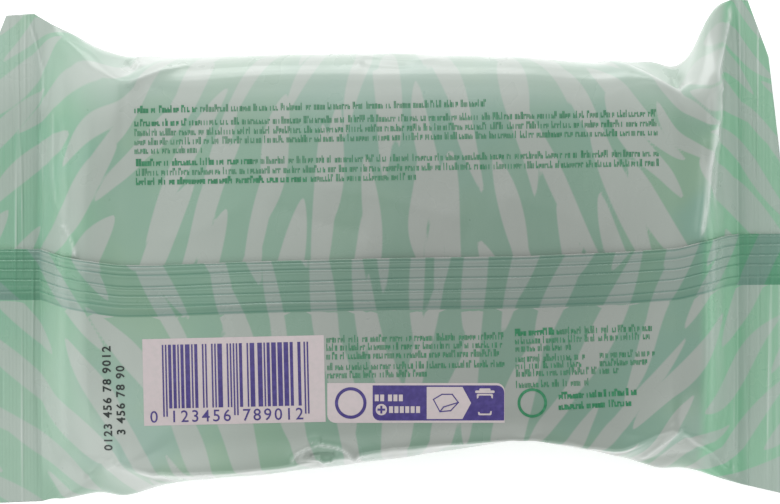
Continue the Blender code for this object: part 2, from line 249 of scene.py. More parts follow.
def crimp(x, y):
    """Height of the faint ribs that the sealing jaws press across each end, and of its wandering creases."""
    inside = np.clip((np.abs(x) - SEAL_LINE) / CRIMP_PITCH, 0, CRIMPS)
    height = CRIMP_DEPTH * 0.5 * (1 - np.cos(2 * np.pi * inside))
    drawn = random.Random(23)
    for _ in range(SEAL_CREASES):
        side = drawn.choice((-1, 1))
        place = drawn.uniform(66.5, 78.5) * MM
        middle, reach = drawn.uniform(-42, 42) * MM, drawn.uniform(10, 34) * MM
        slope, up = drawn.uniform(-0.025, 0.025), drawn.choice((-0.8, 1.0))
        away = side * x - place - slope * (y - middle)
        line = np.exp(-np.abs(away) / SEAL_CREASE_REACH) * bell((y - middle) / reach)
        height += up * drawn.uniform(0.4, 1.0) * SEAL_CREASE_HEIGHT * line
    return height


def out_of_film(x, distance):
    """Directions out of the film's wrapped form."""
    step = 0.4 * MM
    along = smooth_film(x + step, distance) - smooth_film(x - step, distance)
    over = smooth_film(x, distance + step) - smooth_film(x, distance - step)
    out = np.cross(along, over)
    return out / np.linalg.norm(out, axis=1, keepdims=True)


# Creases that show from above: how high each stands and how far it reaches to its sides, then its points in
# X and Y, all in millimetres. A crease with a height below nought is a groove.
CREASES = (
    (0.7, 0.6, (-52.5, 32.9), (-51.3, 33), (-49, 34), (-46.8, 34.8), (-44.9, 35.5), (-39, 36.8)),
    (-0.7, 0.7, (-52.2, 38), (-51.2, 37), (-50, 36.2)),
    (0.6, 0.6, (-50.4, 38.8), (-49.8, 37.4), (-49, 36.2)),
    (0.4, 0.5, (-72.2, 46.7), (-70, 39.6), (-68.9, 35.2), (-69.3, 27)),
    (0.35, 0.5, (-69.4, 25.9), (-68.7, 10.2), (-69, 0.4)),
    (0.4, 0.8, (-66.6, 30), (-66.9, 18), (-66.2, 8)),
    (-0.35, 0.8, (-65.4, 26), (-65.6, 16), (-65, 8)),
    (0.7, 0.8, (-65.6, 5.2), (-63.7, 4.9), (-62.6, 2.7), (-61.8, 0), (-61.4, -1.2)),
    (0.8, 0.6, (41, 38.2), (48.2, 35.8), (53.7, 32.6), (56.7, 31), (58.4, 32.2), (60.6, 34)),
    (0.5, 0.7, (42, 39), (47, 37.8), (52, 36.2)),
    (-0.8, 0.6, (56.4, 36.6), (57.4, 34.6), (56.9, 32.2)),
    (0.9, 0.8, (67.9, 50), (67.3, 46.1), (66.1, 41.2), (64.9, 37.3), (64.5, 35.3), (65.3, 31.5)),
    (0.9, 0.8, (65.1, 34), (65.3, 30.5), (64.9, 25.9), (63.5, 23.5), (62.9, 20.4)),
    (1.1, 0.9, (64, 25), (63.1, 20), (62.4, 16.1), (62, 10), (61.4, 5), (60.8, 1.8)),
    (-0.6, 1.4, (66.4, 34), (66.9, 27), (65.6, 18), (64.6, 8)),
    (0.7, 0.6, (49.6, -41.2), (52.6, -38.4), (57.1, -34.7), (57.6, -35.2)),
    (0.34, 0.5, (57.1, -34.7), (60.8, -37.8), (64, -39.6), (67.6, -43), (70.4, -46)),
    (-0.4, 0.7, (57.6, -36.2), (60.2, -38.6), (62.6, -39.6)),
    (-0.3, 1, (49.4, -41.6), (56, -40.4), (63, -39.8)),
    (0.3, 0.8, (24, -37.4), (30, -35.4), (36, -37), (40.4, -39.2)),
    (-0.4, 0.5, (-60.6, -45), (-58.3, -43), (-56, -41.2), (-54.4, -40)),
    (0.5, 0.8, (-56.6, -43.4), (-53, -41.2), (-49.6, -42.4), (-45, -44)),
    (0.8, 0.5, (-19.6, -41.5), (-18.4, -40), (-16.4, -39), (-14.1, -38), (-12.9, -37.8)),
    (0.6, 0.45, (-15.4, -38), (-15.2, -37.3), (-14.4, -37.1), (-13.6, -37.3)),
    (0.9, 0.7, (-14.1, -37.9), (-11.4, -38.3), (-9.6, -38.8), (-8.4, -39.4), (-7.4, -40.3), (-6.1, -41.3)),
    (-0.6, 0.8, (-16.4, -39.9), (-13, -39.3), (-10.2, -39.5)),
    (0.6, 0.45, (-16.9, -40.3), (-15.4, -40.6), (-13.9, -40.5), (-13.1, -41.2), (-11.9, -40.9),
     (-11.1, -41.5)),
    (-0.5, 0.6, (-18.6, -41.6), (-16, -41.5), (-13.4, -41.9)),
    (0.35, 0.8, (-6.5, 38.8), (-1.4, 37.8), (4.1, 37.4), (10.5, 38.4)),
    (-0.3, 1, (-6, 37.4), (-1, 36.8), (4.5, 36.6)),
    (0.16, 2.6, (-17.5, 13.8), (0, 10.6), (16.1, 5.7)),
    (-0.14, 2.4, (-24, 9.6), (-14.7, 5.9), (-4, 3.6)),
    (0.13, 2.8, (20, 12), (33, 8), (44, 3)),
    (0.12, 2.8, (-46, 2), (-36, 5), (-28, 10)),
)
# Creases that stand high enough to get a painted highlight along their crest, and how much narrower that
# highlight is than the crease
LEAST_CREST, CREST_NARROWING = 0.3, 0.5
CRESTS = [crease for crease in CREASES if crease[0] > LEAST_CREST]
CREASE_FADE = 0.12
SWELLS, SWELL_SPAN, SWELL_HEIGHT = 26, (11, 34), 0.05 * MM
CRINKLES, CRINKLE_SPAN, CRINKLE_HEIGHT = 34, (6, 16), 0.05 * MM
SIDE_CRINKLING = 1.5
NEAR_SEAL, NEAR_SIDE, CALM_BY_SEAL, CALM_BY_FRONT = mm(9, 5, 6, 2)


def along_creases(points, creases, narrowing):
    """Height of the creases at places seen from above, sharp at each crease and nothing past its ends."""
    relief = np.zeros(len(points))
    for height, reach, *path in creases:
        path = np.array(path) * MM
        runs = np.hypot(*np.diff(path, axis=0).T)
        total = runs.sum()
        nearest = np.full(len(points), 1.0)
        share = np.zeros(len(points))
        for k, run in enumerate(runs):
            ahead = (path[k + 1] - path[k]) / run
            offset = points[:, :2] - path[k]
            along = np.clip(offset @ ahead, 0, run)
            away = np.hypot(*(offset - along[:, None] * ahead).T)
            closer = away < nearest
            nearest = np.where(closer, away, nearest)
            share = np.where(closer, (runs[:k].sum() + along) / total, share)
        ends = np.minimum(np.minimum(share, 1 - share) / CREASE_FADE, 1)
        relief += height * MM * ends * np.exp(-nearest / (reach * narrowing * MM))
    return relief


def waves(points, count, shortest, longest, seed):
    """A sum of ripples that run every way over the film, their lengths in millimetres."""
    drawn = random.Random(seed)
    total = np.zeros(len(points))
    for _ in range(count):
        way = Vector((drawn.gauss(0, 1), drawn.gauss(0, 1), drawn.gauss(0, 1))).normalized()
        rate = 2 * math.pi / (drawn.uniform(shortest, longest) * MM)
        total += np.sin(points @ np.array(way) * rate + drawn.uniform(0, 2 * math.pi))
    return total / math.sqrt(count)


def film_relief(points, facing, out_from_seal):
    """How far the film stands out of its wrapped form."""
    soft = SWELL_HEIGHT * waves(points, SWELLS, *SWELL_SPAN, 5)
    near_seal = np.exp(-out_from_seal / NEAR_SEAL)
    near_side = np.exp(-np.maximum(HALF_WIDTH - np.abs(points[:, 1]), 0) / NEAR_SIDE)
    crinkling = np.clip(near_seal + SIDE_CRINKLING * near_side, 0, 2)
    crinkled = CRINKLE_HEIGHT * waves(points, CRINKLES, *CRINKLE_SPAN, 9) * crinkling
    off_front = np.clip((points[:, 2] - FRONT_Z) / CALM_BY_FRONT, 0, 1)
    creased = along_creases(points, CREASES, 1.0) * facing
    return (creased + (soft + crinkled) * np.clip(out_from_seal / CALM_BY_SEAL, 0, 1)) * off_front


def film(x, distance):
    """The wrapper's outer face with its creases and crimps, and how much painted highlight each place gets
    from how sharp a crest it lies on.
    """
    points = smooth_film(x, distance)
    out = out_of_film(x, distance)
    facing = np.clip(out[:, 2] * 4 + 1.0, 0, 1)
    crest = along_creases(points, CRESTS, CREST_NARROWING) * facing / MM
    points += out * film_relief(points, facing, np.maximum(SEAL_LINE - np.abs(x), 0))[:, None]
    points[:, 2] += crimp(points[:, 0], points[:, 1])
    points[:, 2] = np.maximum(points[:, 2], FRONT_Z)
    return points, crest


# The strokes of the print: tapered pale strokes that radiate from the middle of the front, ring behind ring,
# each ring's strokes standing between the last one's
FRONT_MIDDLE = GUIDES["front_middle"]
STROKE_RINGS = 10
FIRST_RING, RING_SPACING = mm(14, 16.5)
STROKE_PITCH, STROKE_LENGTH, STROKE_WIDTH, TIP_WIDTH = mm(9.8, 29, 4.7, 0.25)
NO_STROKE = -0.01
strokes_drawn = random.Random(11)
STROKES = []
for order in range(STROKE_RINGS):
    ring_radius = FIRST_RING + order * RING_SPACING
    count = round(2 * math.pi * ring_radius / STROKE_PITCH)
    for k in range(count):
        angle = 2 * math.pi * (k + strokes_drawn.uniform(-0.2, 0.2)) / count
        length = STROKE_LENGTH * strokes_drawn.uniform(0.75, 1.35)
        middle = ring_radius + strokes_drawn.uniform(-6, 6) * MM
        width = STROKE_WIDTH * strokes_drawn.uniform(0.62, 1.15)
        lean = strokes_drawn.uniform(-0.12, 0.12)
        bow, bend = strokes_drawn.uniform(-1.4, 1.4) * MM, strokes_drawn.uniform(-0.7, 0.7) * MM
        STROKES.append((angle, middle, length, width, lean, bow, bend))


def stroke_depth(x, distance):
    """How far inside a pale stroke each place on the flat web is, in metres; below nought is green."""
    across, up = x, distance - FRONT_MIDDLE
    depth = np.full(len(x), NO_STROKE)
    for angle, middle, length, width, lean, bow, bend in STROKES:
        aim = angle + lean
        over_x, over_y = across - middle * math.cos(angle), up - middle * math.sin(angle)
        along = over_x * math.cos(aim) + over_y * math.sin(aim)
        share = np.clip(along / length + 0.5, 0, 1)
        beside = over_y * math.cos(aim) - over_x * math.sin(aim)
        beside -= bow * np.sin(share * math.pi) + bend * np.sin(share * 2 * math.pi)
        swell = np.sin(math.pi * share**0.85) ** 0.8
        half = 0.5 * (TIP_WIDTH + (width - TIP_WIDTH) * swell)
        beyond = np.maximum(np.abs(along) - length / 2, 0)
        depth = np.maximum(depth, half - np.hypot(beside, beyond))
    return depth


def spread(start, end, step):
    """Places from the start up to the end, which is left out, about a step apart."""
    return list(np.linspace(start, end, max(2, round((end - start) / step)) + 1)[:-1])


# The web's columns and rows lie closer where the film is creased: at the seals, the corners and the sides
CRIMP_END = SEAL_LINE + CRIMPS * CRIMP_PITCH
CORNER_START, CREASED_SIDE, CRUMPLED_SIDE = mm(42, 15, 3.2)
FINEST, FINE, TIP, PLAIN, SIDE, COARSE = mm(0.3, 0.46, 0.5, 0.8, 0.9, 2.2)
CRUMPLE_START, CRUMPLE_END = mm(-21, -3)
outer_columns = (
    spread(CORNER_START, SEAL_LINE, FINE)
    + spread(SEAL_LINE, CRIMP_END, CRIMP_PITCH / 3)
    + spread(CRIMP_END, SEAL_END, TIP)
    + [SEAL_END]
)
column_x = np.array(
    [-x for x in outer_columns[::-1]]
    + spread(-CORNER_START, CRUMPLE_START, PLAIN)[1:]
    + spread(CRUMPLE_START, CRUMPLE_END, FINEST)
    + spread(CRUMPLE_END, CORNER_START, PLAIN)
    + outer_columns
)
# Where a stretch of rows begins, and how far apart its rows are
ROW_STRETCHES = (
    (0.0, PLAIN),
    (GUIDES["back_edge_top"] - CREASED_SIDE, FINE),
    (GUIDES["ridge_top"], SIDE),
    (GUIDES["front_edge_top"], COARSE),
    (GUIDES["front_edge_bottom"], SIDE),
    (GUIDES["ridge_bottom"], FINE),
    (GUIDES["back_edge_bottom"] - CRUMPLED_SIDE, FINEST),
    (GUIDES["back_edge_bottom"] + CRUMPLED_SIDE, FINE),
    (GUIDES["back_edge_bottom"] + CREASED_SIDE, PLAIN),
)
row_ends = [start for start, _ in ROW_STRETCHES[1:]] + [GIRTH]
row_places = [at for (start, step), end in zip(ROW_STRETCHES, row_ends) for at in spread(start, end, step)]
row_at = np.array(row_places + [GIRTH])
FOLD_GAP = 0.5 * MM


def flat_web(columns, rows):
    """A grid of film, one unit a cell, with the column and row of each of its points."""
    bm = bmesh.new()
    bmesh.ops.create_grid(bm, x_segments=columns, y_segments=rows, size=0.5)
    column = np.array([round((v.co.x + 0.5) * columns) for v in bm.verts])
    row = np.array([round((v.co.y + 0.5) * rows) for v in bm.verts])
    return bm, column, row


def move_points(bm, places):
    """Moves the points of a flat grid to their places."""
    for vertex, place in zip(bm.verts, places):
        vertex.co = place


def write_web(bm, u, v, **marks):
    """The web's own coordinates as a UV map, and on its points its print, its plies with painted light on
    the fin, and the painted highlights of its crests.
    """
    uv = bm.loops.layers.uv.new("web")
    bm.verts.index_update()
    for name, values in marks.items():
        layer = bm.verts.layers.float.new(name)
        for vertex, value in zip(bm.verts, values):
            vertex[layer] = value
    for face in bm.faces:
        for loop in face.loops:
            k = loop.vert.index
            loop[uv].uv = (u[k] / GIRTH + 0.5, v[k] / GIRTH)


def close_ends(bm):
    """Bridges the two plies at each cut end, then closes the small gaps left at the folds."""
    for side in (-1, 1):
        end = [e for e in bm.edges if e.is_boundary and side * e.verts[0].co.x > 0]
        low = min(v.co.y for e in end for v in e.verts) + FOLD_GAP
        high = max(v.co.y for e in end for v in e.verts) - FOLD_GAP
        bmesh.ops.bridge_loops(bm, edges=[e for e in end if all(low < v.co.y < high for v in e.verts)])
    bmesh.ops.holes_fill(bm, edges=[e for e in bm.edges if e.is_boundary], sides=0)


def face_outwards(bm):
    bmesh.ops.recalc_face_normals(bm, faces=bm.faces)


def finished(bm, name, finish, smooth=True):
    """A mesh object from a bmesh, which is freed."""
    mesh = bpy.data.meshes.new(name)
    bm.to_mesh(mesh)
    bm.free()
    if smooth:
        mesh.shade_smooth()
    mesh.materials.append(finish)
    obj = bpy.data.objects.new(name, mesh)
    bpy.context.scene.collection.objects.link(obj)
    return obj


def srgb(red, green, blue):
    """A colour read off a screen, from 0 to 255, as the linear light that Blender works in."""
    parts = [c / 255 for c in (red, green, blue)]
    return tuple(c / 12.92 if c < 0.04045 else ((c + 0.055) / 1.055) ** 2.4 for c in parts) + (1.0,)


class Recipe:
    """A material's node tree, built a node at a time."""

    def __init__(self, name):
        self.material = bpy.data.materials.new(name)
        self.material.use_nodes = True
        self.tree = self.material.node_tree
        self.surface = self.tree.nodes["Principled BSDF"]

    def put(self, socket, value):
        if isinstance(value, bpy.types.NodeSocket):
            self.tree.links.new(value, socket)
        else:
            socket.default_value = value

    def node(self, kind, sockets, **settings):
        """A node with its settings, and a value or another node's output in each socket named."""
        made = self.tree.nodes.new(kind)
        for name, value in settings.items():
            setattr(made, name, value)
        for name, value in sockets.items():
            self.put(made.inputs[name], value)
        return made

    def place(self):
        return self.node("ShaderNodeTexCoord", {}).outputs["Object"]

    def axes(self):
        split = self.node("ShaderNodeSeparateXYZ", {"Vector": self.place()})
        return split.outputs["X"], split.outputs["Y"]

    def away_from(self, middle):
        sockets = {0: self.place(), 1: middle}
        return self.node("ShaderNodeVectorMath", sockets, operation="DISTANCE").outputs["Value"]

    def mark(self, name):
        """A value that the mesh carries on its points."""
        return self.node("ShaderNodeAttribute", {}, attribute_name=name).outputs["Fac"]

    def noise(self, scale, detail=3.0, stretch=(1.0, 1.0, 1.0)):
        stretched = self.node("ShaderNodeMapping", {"Scale": stretch, "Vector": self.place()})
        sockets = {"Scale": scale, "Detail": detail, "Vector": stretched.outputs["Vector"]}
        return self.node("ShaderNodeTexNoise", sockets).outputs["Fac"]

    def ramp(self, value, low, high, start=0.0, end=1.0):
        sockets = {"Value": value, "From Min": low, "From Max": high, "To Min": start, "To Max": end}
        return self.node("ShaderNodeMapRange", sockets, interpolation_type="SMOOTHSTEP").outputs["Result"]

    def math(self, operation, first, second=0.0):
        return self.node("ShaderNodeMath", {0: first, 1: second}, operation=operation).outputs["Value"]

    def mix(self, share, first, second, blend="MIX"):
        sockets = {"Factor": share, "A": first, "B": second}
        return self.node("ShaderNodeMix", sockets, data_type="RGBA", blend_type=blend).outputs["Result"]

    def bump(self, height, strength, distance, under=None):
        sockets = {"Height": height, "Strength": strength, "Distance": distance}
        if under is not None:
            sockets["Normal"] = under
        return self.node("ShaderNodeBump", sockets).outputs["Normal"]

    def set(self, **values):
        for name, value in values.items():
            self.put(self.surface.inputs[name.replace("_", " ").title().replace("Ior", "IOR")], value)


FILM_GREEN = srgb(124, 158, 138)
FILM_GREEN_WARM = srgb(128, 160, 136)
FILM_GREEN_BLUE = srgb(122, 158, 142)
# Painted shade: the greyer green and the greyer pale for the darker middle of the back
FILM_GREEN_PAINTED_SHADE = srgb(106, 133, 118)
FILM_GREEN_DEEP = srgb(118, 176, 140)
STROKE_PALE = srgb(158, 168, 160)
STROKE_PALE_PAINTED_SHADE = srgb(144, 150, 144)
STROKE_PALE_DEEP = srgb(148, 173, 158)
# The deeper tint of doubled film, which also gives the fin's painted shade
PLY_TINT_AND_PAINTED_SHADE = srgb(176, 212, 206)
# Painted sheen: the pale that the top side and the lower left corner are mixed towards
PAINTED_SHEEN_PALE = srgb(210, 218, 212)
# Painted highlight: the white mixed in along crests, on the seals and on their ribs
PAINTED_HIGHLIGHT_WHITE = srgb(232, 238, 234)
# Where no wipes lie behind the film: past these X on the left, and past a ridge that leans on the right
LEFT_FADE = (0.058, 0.071)
RIDGE_X, RIDGE_LEAN, RIDGE_RUN = 0.0602, 0.1, 0.0028
# The middles of the painted shade that greys the back's middle and of the painted sheen that pales its lower
# left corner, and how far from them each begins and is at its full
PAINTED_SHADE_MIDDLE, PAINTED_SHADE_FADE = (0.016, -0.014, 0.022), (0.064, 0.012)
PAINTED_SHEEN_CORNER, PAINTED_CORNER_SHEEN_FADE = (-0.062, -0.042, 0.012), (0.04, 0.01)
# Where the painted sheen along the top side begins and is at its full, in Y
PAINTED_TOP_SHEEN_FADE = (0.024, 0.038)
STROKE_EDGE = 0.00022


def film_finish():
    """Soft gloss printed film: pale strokes on green, deeper where no white wipes lie behind it, with
    painted shade on the back's middle, a painted sheen along the top side and at the lower left corner, and
    painted highlights on crests and seals.
    """
    recipe = Recipe("printed_film")
    x, y = recipe.axes()
    ragged = recipe.math("MULTIPLY", recipe.noise(90.0), 0.008)
    left = recipe.ramp(recipe.math("SUBTRACT", ragged, x), *LEFT_FADE, 0.0, 0.55)
    leaning = recipe.math("MULTIPLY", recipe.math("MAXIMUM", y), RIDGE_LEAN)
    right = recipe.ramp(recipe.math("SUBTRACT", x, leaning), RIDGE_X, RIDGE_X + RIDGE_RUN)
    off_stack = recipe.math("MAXIMUM", left, right)
    on_stack = recipe.math("SUBTRACT", 1.0, off_stack)
    # Painted shade: the middle of the back greyer and darker
    middle = recipe.ramp(recipe.away_from(PAINTED_SHADE_MIDDLE), *PAINTED_SHADE_FADE)
    warm = recipe.ramp(recipe.noise(34.0), 0.42, 0.62)
    blue = recipe.ramp(recipe.noise(27.0, stretch=(1.0, 1.6, 1.0)), 0.48, 0.66)
    green = recipe.mix(warm, FILM_GREEN, FILM_GREEN_WARM)
    green = recipe.mix(blue, green, FILM_GREEN_BLUE)
    green = recipe.mix(recipe.math("MULTIPLY", middle, 0.85), green, FILM_GREEN_PAINTED_SHADE)
    green = recipe.mix(off_stack, green, FILM_GREEN_DEEP)
    pale = recipe.mix(middle, STROKE_PALE, STROKE_PALE_PAINTED_SHADE)
    pale = recipe.mix(recipe.math("MULTIPLY", off_stack, 0.8), pale, STROKE_PALE_DEEP)
    inside = recipe.ramp(recipe.mark("stroke"), -STROKE_EDGE, STROKE_EDGE)
    colour = recipe.mix(inside, green, pale)
    # Doubled film tinted deeper; on the fin the same tint makes painted shade in its grooves and at its
    # fold, and less of it a painted highlight on its lips and free edge
    ply_tint_and_painted_shade = recipe.mix(recipe.mark("plies"), (1.0, 1.0, 1.0, 1.0), PLY_TINT_AND_PAINTED_SHADE)
    colour = recipe.mix(1.0, colour, ply_tint_and_painted_shade, "MULTIPLY")
    # Painted sheen: the film along the top side, over the stack, and at the lower left corner paler,
    # whatever its print
    painted_top_sheen = recipe.math("MULTIPLY", recipe.ramp(y, *PAINTED_TOP_SHEEN_FADE, 0.0, 0.5), on_stack)
    painted_corner_sheen = recipe.ramp(recipe.away_from(PAINTED_SHEEN_CORNER), *PAINTED_CORNER_SHEEN_FADE, 0.0, 0.22)
    colour = recipe.mix(recipe.math("MAXIMUM", painted_top_sheen, painted_corner_sheen), colour, PAINTED_SHEEN_PALE)
    # Painted highlights along the crests of creases, on the seals and on the seals' highest ribs
    colour = recipe.mix(recipe.ramp(recipe.mark("crest"), 0.1, 1.0, 0.0, 0.6), colour, PAINTED_HIGHLIGHT_WHITE)
    slack = recipe.math("ADD", recipe.math("MULTIPLY", off_stack, 0.7), 0.3)
    ripples = recipe.noise(210.0, 2.0, (1.6, 0.6, 1.0))
    normal = recipe.bump(recipe.math("MULTIPLY", ripples, slack), 0.35, 0.0006)
    normal = recipe.bump(recipe.noise(2600.0, 2.0), 0.1, 0.00005, normal)
    rough = recipe.ramp(recipe.noise(120.0), 0.3, 0.7, 0.26, 0.36)
    recipe.set(base_color=colour, roughness=rough, normal=normal, ior=1.5, coat_weight=0.45,
               coat_roughness=0.22, sheen_weight=0.65, sheen_roughness=0.4)
    return recipe.material


SAME_PLACE = 0.001 * MM
WELD_X, WELD_REACH, WELD_SHADE = 70.4 * MM, 1.3 * MM, 0.15
# Painted light on the seals, paler on the right than the left, and painted highlights on the seal ribs that
# stand above the least height
LEFT_SEAL_PAINTED_LIGHT, RIGHT_SEAL_PAINTED_LIGHT, SEAL_PAINTED_LIGHT_RUN = 0.2, 0.36, 1.8 * MM
RIB_PAINTED_HIGHLIGHT, LEAST_CREASE = 2.4, 0.07

film_material = film_finish()
wrapper_bm, column, row = flat_web(len(column_x) - 1, len(row_at) - 1)
web_x, web_at = column_x[column], row_at[row]
film_places, crests = film(web_x, web_at)
move_points(wrapper_bm, film_places)
sealed = WELD_SHADE * bell((np.abs(web_x) - WELD_X) / WELD_REACH)
# Painted light on the seals and painted highlights on their highest ribs, added to the crests' painted
# highlights
painted_seal_light = np.where(web_x < 0, LEFT_SEAL_PAINTED_LIGHT, RIGHT_SEAL_PAINTED_LIGHT)
ribbed = crimp(film_places[:, 0], film_places[:, 1]) / MM
crests += painted_seal_light * np.clip((np.abs(web_x) - SEAL_LINE + SEAL_PAINTED_LIGHT_RUN) / (2 * SEAL_PAINTED_LIGHT_RUN), 0, 1)
crests += RIB_PAINTED_HIGHLIGHT * np.maximum(ribbed - LEAST_CREASE, 0)
printed_at = np.where(row == 0, GIRTH, web_at)
write_web(wrapper_bm, web_x, web_at, stroke=stroke_depth(web_x, printed_at), plies=sealed, crest=crests)
bmesh.ops.remove_doubles(wrapper_bm, verts=wrapper_bm.verts, dist=SAME_PLACE)
close_ends(wrapper_bm)
face_outwards(wrapper_bm)
film_tree = BVHTree.FromBMesh(wrapper_bm)
wrapper = finished(wrapper_bm, "film_wrapper", film_material)
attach(wrapper, "root")
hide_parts("wipes_pack")

# Fin seal: the web's two long edges, welded inside to inside in a ribbed strip and folded over on the back.
# Its upper ply runs on from the lower panel round the fold, so the print there runs on too.
FIN_WIDTH, FIN_PLY, FIN_LIFT, FIN_FOLD = mm(10.8, 0.16, 0.42, 2.6)
FIN_GROOVES = (1.0, 2.5, 4.6, 6.7, 8.8, 10.4)
GROOVE_DEPTH, GROOVE_WIDTH = mm(0.1, 0.14)
LIP_HEIGHT, LIP_OFFSET = mm(0.07, 0.3)
# Widths of the painted highlight along the free edge and of the painted shade at the fold
FREE_EDGE, PAINTED_FOLD_SHADE_REACH = mm(0.16, 1.2)
# Deeper tint for the fin's plies and where it lies over the seals; painted shade at the fold; a painted
# highlight along the free edge
FIN_SHADE, SEAL_SHADE, PAINTED_FOLD_SHADE, PAINTED_EDGE_HIGHLIGHT = 0.42, 0.5, 0.3, 0.6
FIN_SUNK, FIN_ROW, SEAL_SHADE_RUN, PRESS_RUN = mm(-0.06, 0.12, 1, 6)
LEAST_LIFT = 0.12
FINE_LINES, FINE_LINE_SHARE = 12, 0.45
ROWS_UP_TO_UNDER = 6

fin_rows_up = np.array(spread(0.0, FIN_WIDTH, FIN_ROW) + [FIN_WIDTH])
fin_rows_under = fin_rows_up[::-ROWS_UP_TO_UNDER]
fin_row_at = np.concatenate([fin_rows_up, fin_rows_under, fin_rows_up[:1]])
fin_row_top = np.concatenate([np.ones(len(fin_rows_up)), np.zeros(len(fin_rows_under)), [1.0]])


def fin_lines(x, distance, offset):
    """Where the lines are, from 0 to 1, that the sealing wheels leave along the fin."""
    shown = np.zeros(len(distance))
    for place in FIN_GROOVES:
        wander = 0.12 * MM * np.sin(x / (21 * MM) + place) + 0.05 * MM * np.sin(x / (6 * MM) + 2 * place)
        shown += bell((distance - place * MM - wander + offset) / GROOVE_WIDTH)
    drawn = random.Random(4)
    for _ in range(FINE_LINES):
        place = drawn.uniform(0.1, 1.0) * FIN_WIDTH
        middle, reach = drawn.uniform(-1, 1) * SEAL_LINE, drawn.uniform(12, 30) * MM
        slope = drawn.uniform(-0.012, 0.012)
        line = bell((distance - place - slope * (x - middle) + offset) / GROOVE_WIDTH)
        shown += FINE_LINE_SHARE * line * bell((x - middle) / reach)
    return shown


def fin_height(x, distance, upper):
    """Height over the back: the fold stands up a little and the free edge is not quite flat."""
    pressed = np.clip((SEAL_LINE - np.abs(x)) / PRESS_RUN, LEAST_LIFT, 1)
    lift = FIN_LIFT * (0.55 + 0.25 * np.sin(x / (17 * MM)) + 0.2 * np.sin(x / (5.3 * MM) + 1.0))
    lift = lift * pressed * (0.15 + 0.85 * distance / FIN_WIDTH)
    ply = 2 * FIN_PLY * upper
    fold = np.clip(distance / FIN_FOLD, 0, 1)
    rounded = fold**2 * (3 - 2 * fold)
    lines = LIP_HEIGHT * fin_lines(x, distance, LIP_OFFSET) - GROOVE_DEPTH * fin_lines(x, distance, 0.0)
    return FIN_SUNK + (lift + ply - FIN_SUNK + lines * upper) * rounded


fin_bm, fin_column, fin_row = flat_web(len(column_x) - 1, len(fin_row_at) - 1)
fin_x, fin_at, fin_upper = column_x[fin_column], fin_row_at[fin_row], fin_row_top[fin_row]
under_fin, fin_crests = film(fin_x, fin_at)
fin_rise = fin_height(fin_x, fin_at, fin_upper)
move_points(fin_bm, under_fin + out_of_film(fin_x, fin_at) * fin_rise[:, None])
over_fold = np.where(fin_upper > 0.5, GIRTH + fin_at, -fin_at)
over_seal = np.clip((np.abs(fin_x) - SEAL_LINE + SEAL_SHADE_RUN) / SEAL_SHADE_RUN, 0, 1)
# Painted highlight along the free edge, painted shade in the grooves with painted highlights on their lips,
# and painted shade at the fold
painted_edge_highlight = PAINTED_EDGE_HIGHLIGHT * bell((FIN_WIDTH - fin_at) / FREE_EDGE)
painted_groove_shade_and_lip_highlight = 0.55 * fin_lines(fin_x, fin_at, 0.0) - 0.2 * fin_lines(fin_x, fin_at, LIP_OFFSET)
painted_fold_shade = PAINTED_FOLD_SHADE * bell(fin_at / PAINTED_FOLD_SHADE_REACH)
fin_plies = np.clip(FIN_SHADE + SEAL_SHADE * over_seal + painted_groove_shade_and_lip_highlight + painted_fold_shade - painted_edge_highlight, 0, 1)
write_web(fin_bm, fin_x, over_fold, stroke=stroke_depth(fin_x, over_fold), plies=fin_plies, crest=fin_crests)
bmesh.ops.remove_doubles(fin_bm, verts=fin_bm.verts, dist=SAME_PLACE)
bmesh.ops.holes_fill(fin_bm, edges=[e for e in fin_bm.edges if e.is_boundary], sides=0)
face_outwards(fin_bm)
fin = finished(fin_bm, "fin_seal", film_material)
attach(fin, "root")

# Small print on the back: rows of plain green dashes, as tall and as close as small letters, which spell
# nothing. Like all the print here they are ink on the film, let down on it from above.
X_HEIGHT, TALL_HEIGHT, LETTER_PITCH, THIN_DASH, BOLD_DASH = mm(1.05, 1.45, 0.56, 0.15, 0.24)
INK_LOW, INK_HIGH = mm(-0.04, 0.045)
OVER_FILM = 10 * MM
PRINT_TILT = math.radians(1.1)
TALL_SHARE, SECOND_SHARE = 0.22, 0.8
WORD_LENGTHS = (2, 10)
# Where each row begins in X and Y, how far it runs, and how far it is bold, in millimetres
UPPER_ROWS = (
    (-50, 27.2, 69, 11.4),
    (-50, 24.6, 102.2, 12),
    (-50, 22.7, 102.4, 0),
    (-50, 20.9, 102.4, 0),
    (-50, 19.2, 13.2, 0),
    (-49.7, 16.8, 102.2, 22.6),
    (-49.7, 14.9, 102.3, 0),
    (-49.7, 13.1, 54.8, 34.5),
)
MIDDLE_ROWS = (
    (-12.4, -17.8, 34.3, 0),
    (-12.4, -19.4, 34.4, 0),
    (-12.4, -21.1, 33.6, 0),
    (-12.2, -23.2, 34.3, 0),
    (-12.2, -24.8, 19.4, 0),
)
RIGHT_ROWS = (
    (24.6, -16.5, 27, 8.2),
    (24.6, -18.1, 27, 0),
    (24.7, -19.6, 10.6, 0),
    (24.7, -21.6, 13.6, 0),
    (24.7, -23, 13.4, 0),
    (24.8, -24.5, 15.4, 0),
    (24.8, -26.7, 14.2, 0),
    (41.2, -20.8, 10.4, 0),
    (41.2, -22.4, 9.4, 0),
    (41.2, -23.9, 3.6, 0),
)
BOLD_ROWS = ((33.2, -28.9, 15, 15), (33.2, -31, 13.8, 13.8))


def block(bm, x, y, width, height, high=INK_HIGH, turn=0.0, low=INK_LOW):
    """A flat block centred at X and Y; its heights are heights over the film."""
    place = Matrix.Translation((x, y, (low + high) / 2)) @ Matrix.Rotation(turn, 4, "Z")
    size = Matrix.Diagonal((width, height, high - low, 1.0))
    return bmesh.ops.create_cube(bm, size=1.0, matrix=place @ size)["verts"]


